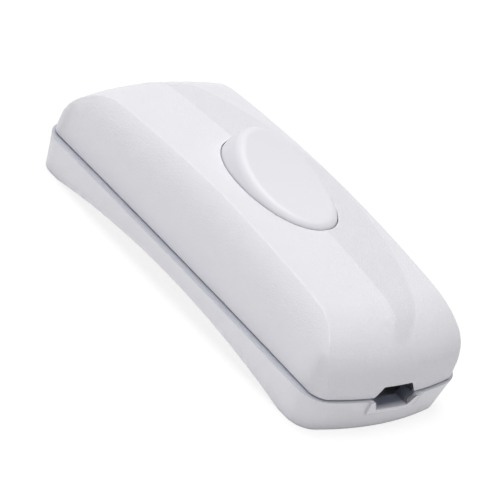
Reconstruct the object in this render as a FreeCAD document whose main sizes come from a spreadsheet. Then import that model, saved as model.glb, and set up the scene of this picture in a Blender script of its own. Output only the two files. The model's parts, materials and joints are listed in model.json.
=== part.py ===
import FreeCAD, Part
import math
import os

import Sketcher

Vector = FreeCAD.Vector
Rotation = FreeCAD.Rotation

# Driving dimensions in millimetres and degrees. The base of the feet is z = 0, +X is the long axis.
SIZES = [
    # Upper shell
    ("shell_length", 78.0),
    ("shell_width", 32.1),
    ("crown_rise", 13.45),
    ("crown_radius", 262.0),
    ("end_bow_radius", 61.0),
    ("end_round", 11.3),
    ("shoulder_rise", 4.57),
    ("shoulder_round", 14.7),
    ("corner_radius", 3.3),
    ("shell_wall", 1.6),
    # Spear-shaped keel on the crown
    ("keel_end_margin", 3.3),
    ("keel_side_margin", 3.15),
    ("keel_height", 0.63),
    ("keel_sink", 0.03),
    # Parting line, ledge and tongue
    ("parting_height", 6.3),
    ("parting_rise", 0.37),
    ("shadow_gap", 0.3),
    ("ledge_side", 1.3),
    ("ledge_end", 0.53),
    ("lip_corner_radius", 5.2),
    ("land_inset", 0.45),
    ("tongue_height", 1.2),
    ("tongue_wall", 0.8),
    ("tongue_clearance", 0.15),
    # Lower shell
    ("base_inset", 1.2),
    ("arch_rise", 3.3),
    ("arch_half_span", 31.0),
    ("floor_wall", 1.6),
    # Cord entry
    ("slot_top_width", 6.3),
    ("slot_mid_width", 9.5),
    ("slot_base_width", 7.0),
    ("slot_up", 2.25),
    ("slot_down", 1.85),
    ("collar_margin", 0.9),
    ("collar_draft", 0.5),
    ("collar_proud", 0.35),
    # Rocker
    ("rocker_half_width", 8.4),
    ("rocker_end_radius", 13.05),
    ("rocker_gap", 0.27),
    ("rocker_tilt", 10.5),
    ("rocker_top", 6.93),
    ("rocker_dish", 0.84),
    ("rocker_skirt", 2.2),
    ("rocker_wall", 1.3),
    ("rocker_edge_round", 1.6),
    ("pivot_drop", 3.85),
    ("pivot_radius", 1.4),
    ("pivot_length", 1.7),
    ("pivot_clearance", 0.06),
    ("bearing_gap", 0.45),
    ("bearing_wall", 1.8),
    ("bearing_width", 5.2),
    ("post_radius", 2.7),
    ("post_length", 3.4),
    # Plunger and spring
    ("plunger_radius", 1.65),
    ("plunger_clearance", 0.1),
    ("plunger_top", 1.2),
    ("plunger_reach", 5.13),
    ("spring_radius", 1.25),
    ("spring_wire", 0.36),
    ("spring_turns", 5.0),
    ("spring_seat", 3.4),
    # See-saw contact
    ("fulcrum_drop", 7.0),
    ("fulcrum_radius", 0.9),
    ("fulcrum_clearance", 0.07),
    ("bridge_tilt", 6.0),
    ("bridge_half_length", 7.6),
    ("bridge_width", 4.4),
    ("bridge_top", 1.7),
    ("bridge_arm", 0.9),
    ("bridge_hub", 2.4),
    ("contact_offset", 6.0),
    ("contact_radius", 1.4),
    ("contact_thickness", 0.6),
    ("contact_touch_gap", 0.06),
    # Terminals
    ("strip_drop", 2.0),
    ("strip_thickness", 0.8),
    ("block_margin", 19.2),
    ("block_length", 6.0),
    ("block_width", 5.5),
    ("block_height", 6.0),
    ("block_drop", 1.8),
    ("live_offset", 5.25),
    ("neutral_offset", 5.25),
    ("neutral_strip_width", 2.8),
    ("live_strip_width", 3.6),
    ("wire_radius", 1.3),
    ("wire_drop", 3.6),
    ("screw_radius", 1.5),
    ("screw_clearance", 0.05),
    ("screw_length", 5.0),
    ("screw_head_radius", 2.3),
    ("screw_head_height", 1.8),
    ("screw_slot", 0.7),
    # Cord clamps
    ("clamp_margin", 9.2),
    ("clamp_length", 4.4),
    ("clamp_width", 17.6),
    ("clamp_thickness", 2.2),
    ("clamp_rib_width", 1.5),
    ("clamp_rise", 1.2),
    ("clamp_screw_offset", 6.5),
    ("clamp_screw_radius", 1.1),
    ("clamp_screw_length", 6.4),
    ("clamp_head_radius", 2.0),
    ("clamp_head_height", 1.5),
    ("clamp_boss_radius", 2.2),
    ("cord_rest_width", 7.0),
    ("cord_grip", 0.7),
    # Housing screws
    ("fix_block_gap", 0.5),
    ("fix_side_margin", 5.0),
    ("fix_screw_radius", 1.5),
    ("fix_head_radius", 2.6),
    ("fix_head_height", 1.7),
    ("fix_bite", 7.0),
    ("fix_seat_wall", 1.8),
    ("fix_boss_radius", 3.3),
    ("fix_post_radius", 2.7),
    ("partition_wall", 1.2),
    ("partition_rise", 5.2),
]

# How far a cutting solid runs past the faces that it cuts.
OVERRUN = 6.0
# A cutter that follows a face stays this far outside it, so that the two never coincide.
RELIEF = 0.03
# Points along the half keel, as shares of its length.
KEEL_STATIONS = (0.0, 0.2, 0.4, 0.56, 0.68, 0.75, 0.79, 0.82, 0.85, 0.89, 0.93, 0.965, 0.985, 0.995)
# Roundness of the keel's plan, and how late its ridge falls towards the tips.
KEEL_EXPONENT = 1.8
KEEL_FADE = 8
# Lengths that differ by less than this count as equal.
SAME_LENGTH = 1e-6

doc = FreeCAD.newDocument("inline_cord_switch")
sheet = doc.addObject("Spreadsheet::Sheet", "Sizes")


class Size:
    """A number that also keeps its formula, so that it can start a shape and stay bound to the sheet."""

    def __init__(self, text, value):
        self.text = text
        self.value = value

    def join(self, sign, other, value, swap=False):
        other_text = other.text if isinstance(other, Size) else repr(float(other))
        first, second = (other_text, self.text) if swap else (self.text, other_text)
        return Size(f"({first} {sign} {second})", value)

    def __add__(self, other):
        return self.join("+", other, self.value + number(other))

    def __radd__(self, other):
        return self.join("+", other, number(other) + self.value, True)

    def __sub__(self, other):
        return self.join("-", other, self.value - number(other))

    def __rsub__(self, other):
        return self.join("-", other, number(other) - self.value, True)

    def __mul__(self, other):
        return self.join("*", other, self.value * number(other))

    def __rmul__(self, other):
        return self.join("*", other, number(other) * self.value, True)

    def __truediv__(self, other):
        return self.join("/", other, self.value / number(other))

    def __neg__(self):
        return self * -1.0


def number(size):
    return size.value if isinstance(size, Size) else float(size)


def formula(size):
    return size.text if isinstance(size, Size) else repr(float(size))


def root(size):
    return Size(f"sqrt({size.text})", math.sqrt(size.value))


def sine(angle):
    return Size(f"sin({angle.text})", math.sin(math.radians(angle.value)))


def cosine(angle):
    return Size(f"cos({angle.text})", math.cos(math.radians(angle.value)))


def arcsine(share):
    return Size(f"asin({share.text})", math.degrees(math.asin(share.value)))


ZERO = Size("0.0", 0.0)


class Sizes:
    """Every row of the sheet as an attribute."""


size = Sizes()
for row, (alias, value) in enumerate(SIZES, start=1):
    sheet.set(f"A{row}", alias)
    sheet.set(f"B{row}", str(value))
    sheet.setAlias(f"B{row}", alias)
    setattr(size, alias, Size(f"Sizes.{alias}", value))
doc.recompute()

PLANES = {
    "XY": Rotation(),
    "XZ": Rotation(Vector(1, 0, 0), 90),
    "YZ": Rotation(Vector(1, 1, 1), 120),
}


def bind(item, **properties):
    """Bind properties of an object to sizes; an underscore in a name stands for a dot."""
    for name, value in properties.items():
        item.setExpression(name.replace("_", "."), formula(value))


# Sketches

def arc_edge(start, end, radius):
    """An arc from start to end that bulges to the right of travel, or to the left for a negative radius."""
    chord = end - start
    half = chord.Length / 2
    reach = math.sqrt(max(abs(radius) ** 2 - half ** 2, 0))
    left = Vector(-chord.y, chord.x, 0).normalize()
    side = 1 if radius > 0 else -1
    centre = (start + end) * 0.5 + left * reach * side
    first, last = (start, end) if side > 0 else (end, start)
    angles = [math.atan2(p.y - centre.y, p.x - centre.x) for p in (first, last)]
    if angles[1] < angles[0]:
        angles[1] += 2 * math.pi
    circle = Part.Circle(centre, Vector(0, 0, 1), abs(radius))
    return Part.ArcOfCircle(circle, angles[0], angles[1]), side


def constrain_arc(sketch, edge, start, end, radius):
    """Bind an arc's radius, or the height of its centre where it is a level half circle."""
    size_of_arc = radius if number(radius) > 0 else -1.0 * radius
    half_chord = math.hypot(number(end[0]) - number(start[0]), number(end[1]) - number(start[1])) / 2
    if abs(number(size_of_arc) - half_chord) < SAME_LENGTH:
        constraint = Sketcher.Constraint("DistanceY", -1, 1, edge, 3, number(start[1]))
        bound = start[1]
    else:
        constraint = Sketcher.Constraint("Radius", edge, number(size_of_arc))
        bound = size_of_arc
    index = sketch.addConstraint(constraint)
    sketch.setExpression(f"Constraints[{index}]", formula(bound))


def draw(sketch, corners, arcs):
    """A closed outline through the corners, every corner and radius bound to the sheet."""
    points = [Vector(number(x), number(y), 0) for x, y in corners]
    first_edge = sketch.GeometryCount
    ends = []
    for i, start in enumerate(points):
        end = points[(i + 1) % len(points)]
        if i in arcs:
            edge, side = arc_edge(start, end, number(arcs[i]))
            ends.append((1, 2) if side > 0 else (2, 1))
        else:
            edge = Part.LineSegment(start, end)
            ends.append((1, 2))
        sketch.addGeometry(edge)
    for i in range(len(points)):
        following = (i + 1) % len(points)
        sketch.addConstraint(Sketcher.Constraint(
            "Coincident", first_edge + i, ends[i][1], first_edge + following, ends[following][0]))
    for i, corner in enumerate(corners):
        for kind, place in zip(("DistanceX", "DistanceY"), corner):
            index = sketch.addConstraint(Sketcher.Constraint(
                kind, -1, 1, first_edge + i, ends[i][0], number(place)))
            sketch.setExpression(f"Constraints[{index}]", formula(place))
        if i in arcs:
            constrain_arc(sketch, first_edge + i, corner, corners[(i + 1) % len(corners)], arcs[i])


def draw_circle(sketch, centre, radius):
    """A circle whose centre and radius are bound to the sheet."""
    middle = Vector(number(centre[0]), number(centre[1]), 0)
    edge = sketch.addGeometry(Part.Circle(middle, Vector(0, 0, 1), number(radius)))
    for kind, place in zip(("DistanceX", "DistanceY"), centre):
        index = sketch.addConstraint(Sketcher.Constraint(kind, -1, 1, edge, 3, number(place)))
        sketch.setExpression(f"Constraints[{index}]", formula(place))
    index = sketch.addConstraint(Sketcher.Constraint("Radius", edge, number(radius)))
    sketch.setExpression(f"Constraints[{index}]", formula(radius))


def loose_sketch(name, plane, corners, arcs=None, offset=None):
    """A sketch outside a body, in one of the main planes moved along its normal."""
    sketch = doc.addObject("Sketcher::SketchObject", name)
    sketch.Placement = FreeCAD.Placement(Vector(), PLANES[plane])
    if offset is not None:
        axis = {"XY": "z", "XZ": "y", "YZ": "x"}[plane]
        sketch.setExpression(f"Placement.Base.{axis}", formula(offset))
    draw(sketch, corners, arcs or {})
    return sketch


def body_sketch(body, name, plane, offset=None):
    """An empty sketch on one of the body's own origin planes."""
    sketch = body.newObject("Sketcher::SketchObject", name)
    for feature in body.Origin.OriginFeatures:
        if feature.Role == f"{plane}_Plane":
            sketch.AttachmentSupport = (feature, [""])
    sketch.MapMode = "FlatFace"
    if offset is not None:
        sketch.setExpression("AttachmentOffset.Base.z", formula(offset))
    return sketch


# Features

def pad(body, name, sketch, length, symmetric=False, flipped=False):
    feature = body.newObject("PartDesign::Pad", name)
    feature.Profile = sketch
    feature.SideType = "Symmetric" if symmetric else "One side"
    feature.Reversed = flipped
    bind(feature, Length=length)
    return feature


def pocket(body, name, sketch, length, symmetric=False, flipped=False):
    feature = body.newObject("PartDesign::Pocket", name)
    feature.Profile = sketch
    feature.SideType = "Symmetric" if symmetric else "One side"
    feature.Reversed = flipped
    bind(feature, Length=length)
    return feature


def extrude(name, sketch, length, symmetric=False):
    """A solid from a loose sketch, along the sketch's normal."""
    solid = doc.addObject("Part::Extrusion", name)
    solid.Base = sketch
    solid.DirMode = "Normal"
    solid.Solid = True
    solid.Symmetric = symmetric
    bind(solid, LengthFwd=length)
    return solid


def revolve(name, sketch, axis, angle=360.0, symmetric=False, base_x=None, base_y=None, base_z=None):
    solid = doc.addObject("Part::Revolution", name)
    solid.Source = sketch
    solid.Axis = axis
    bind(solid, Angle=angle)
    solid.Symmetric = symmetric
    solid.Solid = True
    for letter, place in zip("xyz", (base_x, base_y, base_z)):
        if place is not None:
            solid.setExpression(f"Base.{letter}", formula(place))
    return solid


def mirror(name, source, normal):
    copy = doc.addObject("Part::Mirroring", name)
    copy.Source = source
    copy.Normal = normal
    return copy


def fuse(name, solids):
    result = doc.addObject("Part::MultiFuse", name)
    result.Shapes = solids
    result.Refine = True
    return result


def common(name, solids):
    result = doc.addObject("Part::MultiCommon", name)
    result.Shapes = solids
    return result


def cut(name, base, tool):
    result = doc.addObject("Part::Cut", name)
    result.Base = base
    result.Tool = tool
    result.Refine = True
    return result


def block(name, low, high):
    """A box between two corners given as sizes."""
    box = doc.addObject("Part::Box", name)
    bind(box, Length=high[0] - low[0], Width=high[1] - low[1], Height=high[2] - low[2])
    bind(box, Placement_Base_x=low[0], Placement_Base_y=low[1], Placement_Base_z=low[2])
    return box


def rod(name, radius, low, high, x, y):
    """An upright cylinder between two heights."""
    cylinder = doc.addObject("Part::Cylinder", name)
    bind(cylinder, Radius=radius, Height=high - low)
    bind(cylinder, Placement_Base_x=x, Placement_Base_y=y, Placement_Base_z=low)
    return cylinder


# Shared lengths

half_length = size.shell_length / 2
half_width = size.shell_width / 2
parting_top = size.parting_height + size.parting_rise
shell_base = size.parting_height + size.shadow_gap
crown_height = size.parting_height + size.crown_rise
shoulder_start = size.parting_height + size.shoulder_rise
lip_half_length = half_length + size.ledge_end
lip_half_width = half_width + size.ledge_side
tongue_inset = size.shell_wall + size.tongue_clearance
cavity_inset = tongue_inset + size.tongue_wall
pivot_height = crown_height - size.pivot_drop
fulcrum_height = pivot_height - size.fulcrum_drop
strip_height = fulcrum_height - size.strip_drop
block_base = strip_height - size.block_drop
block_offset = half_length - size.block_margin
clamp_offset = half_length - size.clamp_margin
clamp_seat = size.parting_height + size.clamp_rise
screw_seat = parting_top + size.shadow_gap
fix_offset_x = block_offset - size.block_length / 2 - size.fix_boss_radius - size.fix_block_gap
fix_offset_y = half_width - size.fix_side_margin
partition_height = block_base + size.partition_rise


def parting_region(name, height, above):
    """Everything above or below the arched parting surface at the given end height."""
    reach = half_length + OVERRUN
    stretch = reach / half_length
    drop = size.parting_rise * stretch * stretch - size.parting_rise
    sag = size.parting_rise + drop
    radius = reach * reach / (2 * sag) + sag / 2
    edge = height - drop
    far = crown_height + 2 * OVERRUN if above else size.parting_height * -1.0
    if above:
        corners = [(reach, edge), (reach, far), (-1.0 * reach, far), (-1.0 * reach, edge)]
        arcs = {3: -1.0 * radius}
    else:
        corners = [(-1.0 * reach, far), (reach, far), (reach, edge), (-1.0 * reach, edge)]
        arcs = {2: radius}
    sketch = loose_sketch(name + "_profile", "XZ", corners, arcs)
    return extrude(name, sketch, size.shell_width * 2, symmetric=True)


def plan_corners(length_half, width_half, radius, bow):
    """A rounded plan with bowed ends: eight tangent points and the radius of each arc."""
    bow_centre = length_half - bow
    reach = root((bow - radius) * (bow - radius) - (width_half - radius) * (width_half - radius))
    corner_x = bow_centre + reach
    end_x = bow_centre + reach * bow / (bow - radius)
    end_y = (width_half - radius) * bow / (bow - radius)
    right = [(end_x, -1.0 * end_y), (end_x, end_y), (corner_x, width_half)]
    left = [(-1.0 * corner_x, width_half), (-1.0 * end_x, end_y), (-1.0 * end_x, -1.0 * end_y)]
    foot = [(-1.0 * corner_x, -1.0 * width_half), (corner_x, -1.0 * width_half)]
    arcs = {0: bow, 1: radius, 3: radius, 4: bow, 5: radius, 7: radius}
    return right + left + foot, arcs


def shell_plan(name, inset, height):
    """The upper shell's plan, taken in by an inset."""
    corners, arcs = plan_corners(half_length - inset, half_width - inset, size.corner_radius - inset,
                                 size.end_bow_radius - inset)
    return loose_sketch(name, "XY", corners, arcs, height)


def lip_plan(name, inset, height):
    """The lower shell's plan, taken in from its lip by an inset."""
    corners, arcs = plan_corners(lip_half_length - inset, lip_half_width - inset,
                                 size.lip_corner_radius - inset, size.end_bow_radius - inset)
    return loose_sketch(name, "XY", corners, arcs, height)


# Upper shell

def crown_profile_points(inset):
    """Where the end rounding meets the end wall and the crown, for a form taken in by an inset."""
    radius = size.crown_radius - inset
    bend = size.end_round - inset
    end = half_length - inset
    crown_centre = crown_height - size.crown_radius
    rise = root((radius - bend) * (radius - bend) - (end - bend) * (end - bend))
    bend_height = crown_centre + rise
    meet_x = radius * (end - bend) / (radius - bend)
    meet_z = crown_centre + radius * rise / (radius - bend)
    return radius, bend, end, bend_height, meet_x, meet_z


def crown_half(prefix, inset):
    """The front half of the crown and its bowed, rounded end, turned about the centre of the end's bow."""
    radius, bend, end, bend_height, meet_x, meet_z = crown_profile_points(inset)
    axis = half_length - size.end_bow_radius
    back = axis / 2
    back_z = crown_height - size.crown_radius + root(radius * radius - back * back)
    corners = [(axis, ZERO), (end, ZERO), (end, bend_height), (meet_x, meet_z), (back, back_z),
               (axis, back_z)]
    sketch = loose_sketch(prefix + "_crown_profile", "XZ", corners, {2: bend, 3: radius})
    disc = revolve(prefix + "_disc", sketch, Vector(0, 0, 1), base_x=axis)
    ahead = block(prefix + "_ahead", (ZERO, size.shell_width * -1.0, ZERO),
                  (size.shell_length, size.shell_width, crown_height))
    return common(prefix + "_front", [disc, ahead])


def shoulder_sweep(prefix, inset):
    """Side walls that turn in to the shoulder crease, following the crown's arch."""
    wall = half_width - inset
    bend = size.shoulder_round - inset
    top = crown_height + size.keel_height
    rise = top - shoulder_start
    reach = wall - bend + root(bend * bend - rise * rise)
    low = size.parting_height - OVERRUN
    corners = [(-1.0 * wall, low), (wall, low), (wall, shoulder_start), (reach, top),
               (-1.0 * reach, top), (-1.0 * wall, shoulder_start)]
    sketch = loose_sketch(prefix + "_shoulder_profile", "YZ", corners, {2: bend, 4: bend})
    crown_centre = crown_height - size.crown_radius
    turn = 2 * arcsine((half_length + OVERRUN) / (low - crown_centre))
    return revolve(prefix + "_shoulders", sketch, Vector(0, 1, 0), angle=turn, symmetric=True,
                   base_z=crown_centre)


def corner_cutters(prefix, inset):
    """What lies outside a post at each plan corner, whose dome carries the shoulder on round the corner."""
    bow = size.end_bow_radius - inset
    post = size.corner_radius - inset
    wall = half_width - inset
    span = root((bow - post) * (bow - post) - (wall - post) * (wall - post))
    post_x = half_length - size.end_bow_radius + span
    post_y = wall - post
    edge = post + RELIEF
    bend = size.shoulder_round - inset
    dome = root(bend * bend - (bend - edge) * (bend - edge))
    crown_centre = crown_height - size.crown_radius
    swing = shoulder_start - crown_centre
    start = crown_centre + root(swing * swing - post_x * post_x)
    corners = [(post_x, size.parting_height * -1.0), (post_x + edge, size.parting_height * -1.0),
               (post_x + edge, start), (post_x, start + dome)]
    sketch = loose_sketch(prefix + "_post_profile", "XZ", corners, {2: bend}, post_y)
    domed_post = revolve(prefix + "_post", sketch, Vector(0, 0, 1), base_x=post_x, base_y=post_y)
    quadrant = block(prefix + "_quadrant", (post_x, post_y, size.parting_height * -1.0),
                     (post_x + 2 * OVERRUN, post_y + 2 * OVERRUN, crown_height + OVERRUN))
    first = cut(prefix + "_corner_1", quadrant, domed_post)
    second = mirror(prefix + "_corner_2", first, Vector(0, 1, 0))
    pair = fuse(prefix + "_corners_front", [first, second])
    return fuse(prefix + "_corners", [pair, mirror(prefix + "_corners_rear", pair, Vector(1, 0, 0))])


def upper_form(prefix, inset):
    """The closed upper form above the parting line, taken in by an inset all round."""
    front = crown_half(prefix, inset)
    crown = fuse(prefix + "_crown", [front, mirror(prefix + "_rear", front, Vector(1, 0, 0))])
    rough = common(prefix + "_rough", [crown, shoulder_sweep(prefix, inset)])
    return cut(prefix + "_form", rough, corner_cutters(prefix, inset))


def crown_ground(x, y):
    """Height of the crown's front half at a place; it falls with the distance from the bow's centre."""
    radius, bend, end, bend_height, meet_x, meet_z = crown_profile_points(ZERO)
    axis = half_length - size.end_bow_radius
    out = axis + root((x - axis) * (x - axis) + y * y)
    if number(out) < number(meet_x):
        return crown_height - size.crown_radius + root(radius * radius - out * out)
    reach = out - (end - bend)
    return bend_height + root(bend * bend - reach * reach)


def keel():
    """A low hipped spine: a loft of gabled sections over a spear-shaped plan."""
    sections = []
    shares = [-share for share in reversed(KEEL_STATIONS[1:])] + list(KEEL_STATIONS)
    for i, share in enumerate(shares):
        x = (half_length - size.keel_end_margin) * abs(share)
        narrowing = (1 - abs(share) ** KEEL_EXPONENT) ** (1 / KEEL_EXPONENT)
        spread = (half_width - size.keel_side_margin) * narrowing
        ridge = crown_ground(x, ZERO) + size.keel_height * (1 - abs(share) ** KEEL_FADE) - size.keel_sink
        eave = crown_ground(x, spread) - size.keel_sink
        root_z = eave - size.shell_wall / 2
        corners = [(-1.0 * spread, root_z), (spread, root_z), (spread, eave), (ZERO, ridge),
                   (-1.0 * spread, eave)]
        sign = 1.0 if share >= 0 else -1.0
        sections.append(loose_sketch(f"keel_section_{i}", "YZ", corners, offset=x * sign))
    loft = doc.addObject("Part::Loft", "keel")
    loft.Sections = sections
    loft.Solid = True
    return loft


def drum(name, growth, height):
    """An ellipsoid about the pivot, which turns into itself, so that the gap round it stays even."""
    form = doc.addObject("Part::Ellipsoid", name)
    bind(form, Radius1=size.rocker_end_radius + growth, Radius2=size.rocker_end_radius + growth,
         Radius3=size.rocker_half_width + growth, Placement_Base_z=height)
    return form


def cross_rod(name, radius, half_span, height):
    """A cylinder across the switch, about the Y axis at a height."""
    cylinder = doc.addObject("Part::Cylinder", name)
    cylinder.Placement = FreeCAD.Placement(Vector(), Rotation(Vector(1, 0, 0), 90))
    bind(cylinder, Radius=radius, Height=2 * half_span)
    bind(cylinder, Placement_Base_y=half_span, Placement_Base_z=height)
    return cylinder


def cord_slot(name, side):
    """A six-sided prism through one end wall, for the flat cord."""
    low = size.parting_height - size.slot_down
    high = size.parting_height + size.slot_up
    corners = [(size.slot_base_width / -2.0, low), (size.slot_base_width / 2, low),
               (size.slot_mid_width / 2, size.parting_height), (size.slot_top_width / 2, high),
               (size.slot_top_width / -2.0, high), (size.slot_mid_width / -2.0, size.parting_height)]
    inner = half_length - cavity_inset - OVERRUN / 2
    outer = lip_half_length + OVERRUN
    sketch = loose_sketch(name + "_profile", "YZ", corners, offset=inner if side > 0 else -1.0 * outer)
    return extrude(name, sketch, outer - inner)


def fix_places():
    """The two housing screws stand on a diagonal."""
    return [("front", fix_offset_x, -1.0 * fix_offset_y),
            ("rear", -1.0 * fix_offset_x, fix_offset_y)]


def upper_housing():
    outer = fuse("upper_outer", [upper_form("outer", ZERO), keel()])
    cavity = upper_form("cavity", size.shell_wall)
    shell = cut("upper_shell", outer, cavity)

    # Screw posts and rocker bearings hang from the crown, trimmed to the cavity.
    hangers = []
    for end, x, y in fix_places():
        hangers.append(rod(f"upper_post_{end}", size.fix_post_radius, screw_seat, crown_height, x, y))
    inner = size.rocker_half_width + size.bearing_gap
    outward = inner + size.bearing_wall
    for side in (-1.0, 1.0):
        near = inner if side > 0 else -1.0 * outward
        hangers.append(block(f"bearing_{'left' if side > 0 else 'right'}",
                             (size.bearing_width / -2.0, near, pivot_height - size.bearing_width / 2),
                             (size.bearing_width / 2, near + size.bearing_wall, crown_height)))
    inside = upper_form("hanger", size.shell_wall / 2)
    trimmed = common("upper_hangers", [fuse("upper_hangers_rough", hangers), inside])
    whole = fuse("upper_whole", [shell, trimmed])

    # Openings
    axle = cross_rod("pivot_bore", size.pivot_radius + size.pivot_clearance,
                     outward + size.bearing_wall / 2, pivot_height)
    tools = [drum("rocker_opening", size.rocker_gap, pivot_height), axle,
             cord_slot("upper_slot_front", 1), cord_slot("upper_slot_rear", -1),
             parting_region("upper_trim", shell_base, above=False)]
    for end, x, y in fix_places():
        tools.append(rod(f"upper_pilot_{end}", size.fix_screw_radius + size.screw_clearance,
                         size.parting_height, screw_seat + size.fix_bite + size.screw_radius, x, y))
    return cut("upper_housing", whole, fuse("upper_tools", tools))


# Lower shell

def tray(name, growth):
    """The lower shell's outside, from the small base up to the lip, grown all round."""
    base = lip_plan(f"{name}_base_plan", size.base_inset - growth, ZERO)
    lip = lip_plan(f"{name}_lip_plan", ZERO - growth, parting_top)
    loft = doc.addObject("Part::Loft", name)
    loft.Sections = [base, lip]
    loft.Solid = True
    loft.Ruled = True
    return loft


def lower_outer():
    trim = parting_region("lower_lip_trim", size.parting_height, above=False)
    tiers = [common("lower_lipped", [tray("lower_tray", ZERO), trim])]
    for name, inset, height in (("land", size.land_inset, shell_base),
                                ("tongue", tongue_inset, shell_base + size.tongue_height)):
        low = size.parting_height / 2
        column = extrude(f"{name}_column", shell_plan(f"{name}_plan", inset, low), size.parting_height * 2)
        tiers.append(common(f"{name}_tier", [column, parting_region(f"{name}_trim", height, above=False)]))
    return fuse("lower_outer", tiers)


def lower_cavity():
    """The hollow above a floor that follows the underside."""
    span = size.arch_half_span
    radius = span * span / (2 * size.arch_rise) + size.arch_rise / 2
    reach = half_length + OVERRUN
    top = crown_height
    floor = size.floor_wall
    corners = [(reach, floor), (reach, top), (-1.0 * reach, top), (-1.0 * reach, floor),
               (-1.0 * span, floor), (span, floor)]
    profile = loose_sketch("floor_profile", "XZ", corners, {4: -1.0 * radius})
    above = extrude("above_floor", profile, size.shell_width * 2, symmetric=True)
    column = extrude("cavity_column", shell_plan("cavity_plan", cavity_inset, ZERO),
                     crown_height)
    return common("lower_cavity", [above, column])


def lower_fittings():
    """Platforms, partition, cord rests and screw bosses that rise from the floor."""
    solids = []
    for end, sign in (("front", 1.0), ("rear", -1.0)):
        near = block_offset - size.block_length / 2
        far = block_offset + size.block_length / 2
        x_low, x_high = (near, far) if sign > 0 else (-1.0 * far, -1.0 * near)
        reach = size.live_offset + size.block_width / 2
        solids.append(block(f"terminal_bench_{end}", (x_low, -1.0 * reach, ZERO),
                            (x_high, size.neutral_offset + size.block_width / 2, block_base)))
        wall = size.partition_wall / 2
        solids.append(block(f"partition_{end}", (x_low - wall, -1.0 * wall, ZERO),
                            (x_high + wall, wall, partition_height)))
        clamp = clamp_offset * sign
        solids.append(block(f"cord_rest_{end}",
                            (clamp - size.clamp_length / 2, size.cord_rest_width / -2.0, ZERO),
                            (clamp + size.clamp_length / 2, size.cord_rest_width / 2,
                             size.parting_height - size.slot_down)))
        for side in (1.0, -1.0):
            solids.append(rod(f"clamp_boss_{end}_{'left' if side > 0 else 'right'}", size.clamp_boss_radius,
                              ZERO, clamp_seat, clamp, size.clamp_screw_offset * side))
    for end, x, y in fix_places():
        solids.append(rod(f"fix_boss_{end}", size.fix_boss_radius, ZERO, screw_seat, x, y))
    half = size.bridge_width / 2
    solids.append(block("fulcrum_bench", (size.bridge_hub * -1.0, -1.0 * half, ZERO),
                        (size.fulcrum_radius * 2, half, strip_height)))
    tab = size.contact_radius + size.strip_thickness
    solids.append(block("contact_bench", (size.contact_offset - tab, -1.0 * half, ZERO),
                        (size.contact_offset + tab, half, strip_height)))
    return fuse("lower_fittings_rough", solids)


def collars():
    """Thin raised frames under and beside the cord slots, on the leaning end walls."""
    margin = size.collar_margin
    low = size.parting_height - size.slot_down
    top = size.slot_mid_width / 2 + margin
    base = top - size.collar_draft
    corners = [(-1.0 * base, low - margin), (base, low - margin), (top, size.parting_height),
               (-1.0 * top, size.parting_height)]
    sketch = loose_sketch("collar_profile", "YZ", corners)
    bar = extrude("collar_bar", sketch, 2 * (lip_half_length + OVERRUN), symmetric=True)
    return common("collars", [bar, tray("collar_tray", size.collar_proud)])


def lower_housing():
    outer = fuse("lower_collared", [lower_outer(), collars()])
    hollow = cut("lower_hollow", outer, lower_cavity())
    whole = fuse("lower_whole", [hollow, lower_fittings()])

    # The underside's arch, the cord slots and the screw holes are cut last.
    span = size.arch_half_span
    radius = span * span / (2 * size.arch_rise) + size.arch_rise / 2
    under = size.parting_height * -1.0
    corners = [(span, ZERO), (-1.0 * span, ZERO), (-1.0 * span, under), (span, under)]
    arch = extrude("underside_arch", loose_sketch("underside_profile", "XZ", corners, {0: radius}),
                   size.shell_width * 2, symmetric=True)
    tools = [arch, cord_slot("lower_slot_front", 1), cord_slot("lower_slot_rear", -1)]
    for end, x, y in fix_places():
        seat = screw_seat - size.fix_seat_wall
        tools.append(rod(f"fix_bore_{end}", size.fix_screw_radius + size.screw_clearance,
                         size.parting_height * -1.0, screw_seat + OVERRUN, x, y))
        tools.append(rod(f"fix_recess_{end}", size.fix_head_radius + size.tongue_clearance,
                         size.parting_height * -1.0, seat, x, y))
        tools.append(rod(f"fix_post_room_{end}", size.fix_post_radius + size.tongue_clearance,
                         screw_seat, screw_seat + OVERRUN, x, y))
    for end, sign in (("front", 1.0), ("rear", -1.0)):
        for side in (1.0, -1.0):
            low = clamp_seat + size.clamp_thickness - size.clamp_screw_length
            tools.append(rod(f"clamp_bore_{end}_{'left' if side > 0 else 'right'}",
                             size.clamp_screw_radius + size.screw_clearance, low - size.screw_clearance,
                             clamp_seat + OVERRUN, clamp_offset * sign,
                             size.clamp_screw_offset * side))
    return cut("lower_housing", whole, fuse("lower_tools", tools))


# Rocker, modelled level about its pivot and then tilted

def tilt(item, angle, height):
    """Turn a piece about the Y axis at a height; a positive angle lowers the front."""
    turn = Rotation(Vector(0, 1, 0), number(angle))
    item.Placement = FreeCAD.Placement(Vector(0, 0, number(height)), turn)
    item.setExpression("Placement.Base.z", formula(height))
    item.setExpression("Placement.Rotation.Angle", formula(angle))


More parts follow.
